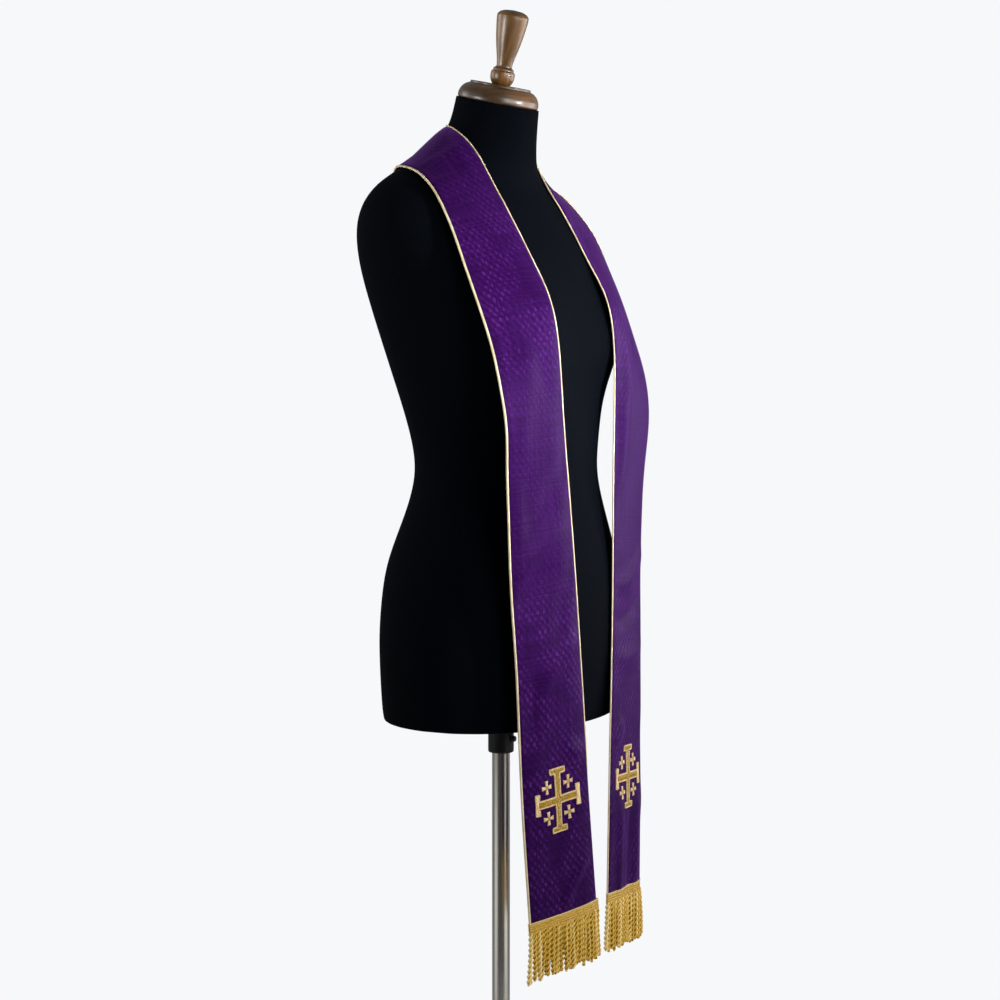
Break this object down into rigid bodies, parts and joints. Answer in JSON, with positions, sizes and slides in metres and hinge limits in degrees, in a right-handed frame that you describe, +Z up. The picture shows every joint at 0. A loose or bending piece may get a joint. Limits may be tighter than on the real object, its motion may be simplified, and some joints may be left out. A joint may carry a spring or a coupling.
{
  "type": "clerical stole on a limbless dress form",
  "caption": "Purple clerical stole with cream piping, gold crosses and bullion fringe, worn by a limbless black dress form with a walnut neck cap on a round-based pole stand.",
  "frame": {"origin": "on the pole's axis at the underside of the base plate", "axes": "+Z up along the pole, -Y to the form's front, -X to the wearer's right"},
  "size_m": [0.3704, 0.33, 1.564],
  "materials": {
    "painted_iron": "satin",
    "steel_tube": "satin",
    "black_nylon": "satin",
    "black_jersey": "matte",
    "walnut": "satin",
    "purple_brocade": "satin",
    "cream_piping": "satin",
    "gold_embroidery": "satin",
    "gold_fringe": "satin"
  },
  "bodies": {
    "stand": {"base_plate": "painted_iron", "pole": "steel_tube"},
    "socket": {"pole_socket": "black_nylon"},
    "clamp": {"clamp_screw": "black_nylon"},
    "form": {"form_torso": "black_jersey", "neck_cap": "walnut", "finial": "walnut", "stole_right": "purple_brocade", "piping_right_inner": "cream_piping", "piping_right_outer": "cream_piping", "cross_right_main": "gold_embroidery", "cross_right_upper_inner": "gold_embroidery", "cross_right_upper_outer": "gold_embroidery", "cross_right_lower_inner": "gold_embroidery", "cross_right_lower_outer": "gold_embroidery", "fringe_right": "gold_fringe", "stole_left": "purple_brocade", "piping_left_inner": "cream_piping", "piping_left_outer": "cream_piping", "cross_left_main": "gold_embroidery", "cross_left_upper_inner": "gold_embroidery", "cross_left_upper_outer": "gold_embroidery", "cross_left_lower_inner": "gold_embroidery", "cross_left_lower_outer": "gold_embroidery", "fringe_left": "gold_fringe"}
  },
  "joints": [
    {"name": "height", "type": "slide", "parent": "stand", "child": "socket", "axis": [0, 0, 1], "range_m": [-0.2, 0.1]},
    {"name": "swivel", "type": "hinge", "parent": "socket", "child": "form", "pos_m": [0, 0, 0.7], "axis": [0, 0, 1], "continuous": true},
    {"name": "clamp_turn", "type": "hinge", "parent": "socket", "child": "clamp", "pos_m": [0, 0, 0.68], "axis": [0, -1, 0], "continuous": true}
  ]
}
